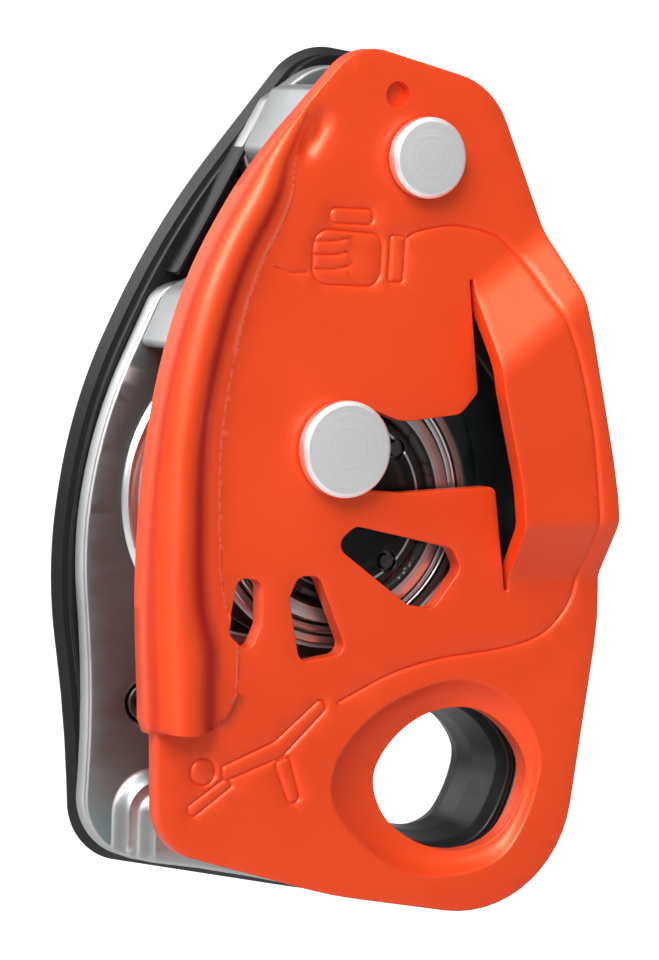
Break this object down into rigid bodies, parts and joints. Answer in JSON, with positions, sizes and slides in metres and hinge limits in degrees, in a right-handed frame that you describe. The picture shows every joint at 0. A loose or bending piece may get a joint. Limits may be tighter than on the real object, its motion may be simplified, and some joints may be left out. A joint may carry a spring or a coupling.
{
  "type": "rope descender",
  "caption": "Rope descender: two side plates, a rope wheel on a spring-loaded cam, a swinging front plate, an attachment eye and a folding release handle.",
  "frame": {"origin": "centre of the attachment eye, halfway through it", "axes": "+X to the right seen from the moving plate, +Y from the moving plate towards the back cover, +Z from the eye to the plate pivot"},
  "size_m": [0.0677, 0.0406, 0.1136],
  "materials": {
    "orange_plate": "satin orange anodising",
    "silver_plate": "satin bead-blasted",
    "bright_steel": "turned",
    "dark_steel": "blackened",
    "bronze": "sintered",
    "black_nylon": "fine grain",
    "white_polymer": "smooth",
    "spring_steel": "drawn wire"
  },
  "bodies": {
    "frame": {"fixed_side_plate": "silver_plate", "friction_block": "silver_plate", "friction_rivet_1": "bright_steel", "friction_rivet_2": "bright_steel", "pivot_boss": "silver_plate", "plate_pivot_washer": "white_polymer", "plate_pivot_rivet": "bright_steel", "cam_axle": "bright_steel", "cam_stop_pin": "bright_steel", "wear_disc": "bright_steel", "channel_wall": "black_nylon", "wall_screw_1": "dark_steel", "wall_screw_2": "dark_steel", "eye_bushing": "black_nylon", "back_cover": "black_nylon", "cover_screw_1": "dark_steel", "cover_screw_2": "dark_steel", "cover_screw_3": "dark_steel", "cover_screw_4": "dark_steel", "axle_circlip": "spring_steel"},
    "side_plate": {"moving_side_plate": "orange_plate", "plate_pivot_bush": "bronze"},
    "cam": {"cam_body": "silver_plate", "cam_bush": "bronze", "wheel_retaining_cap": "dark_steel", "cap_screw_1": "bright_steel", "cap_screw_2": "bright_steel", "cap_screw_3": "bright_steel", "cam_return_spring": "spring_steel"},
    "wheel": {"wheel": "bright_steel", "wheel_bush": "bronze"},
    "handle": {"handle_drive_sleeve": "dark_steel", "handle_base": "black_nylon", "handle_return_spring": "spring_steel", "handle_hinge_pin": "bright_steel"},
    "grip": {"handle_grip": "black_nylon"}
  },
  "joints": [
    {"name": "plate_swing", "type": "hinge", "parent": "frame", "child": "side_plate", "pos_m": [-0.0051, 0, 0.0796], "axis": [0, 1, 0], "range_deg": [0, 95]},
    {"name": "cam_turn", "type": "hinge", "parent": "frame", "child": "cam", "pos_m": [-0.0168, 0, 0.0432], "axis": [0, 1, 0], "range_deg": [0, 60], "stiffness_Nm_per_rad": 0.02, "springref_deg": -34.38, "deforming": ["cam_return_spring"]},
    {"name": "wheel_spin", "type": "hinge", "parent": "cam", "child": "wheel", "pos_m": [-0.0144, 0, 0.0359], "axis": [0, 1, 0], "continuous": true},
    {"name": "handle_turn", "type": "hinge", "parent": "frame", "child": "handle", "pos_m": [-0.0168, 0, 0.0432], "axis": [0, -1, 0], "range_deg": [0, 80], "stiffness_Nm_per_rad": 0.03, "springref_deg": -34.38, "deforming": ["handle_return_spring"]},
    {"name": "grip_fold", "type": "hinge", "parent": "handle", "child": "grip", "pos_m": [0.003, 0, 0.066], "axis": [0, -1, 0], "range_deg": [0, 165]}
  ]
}
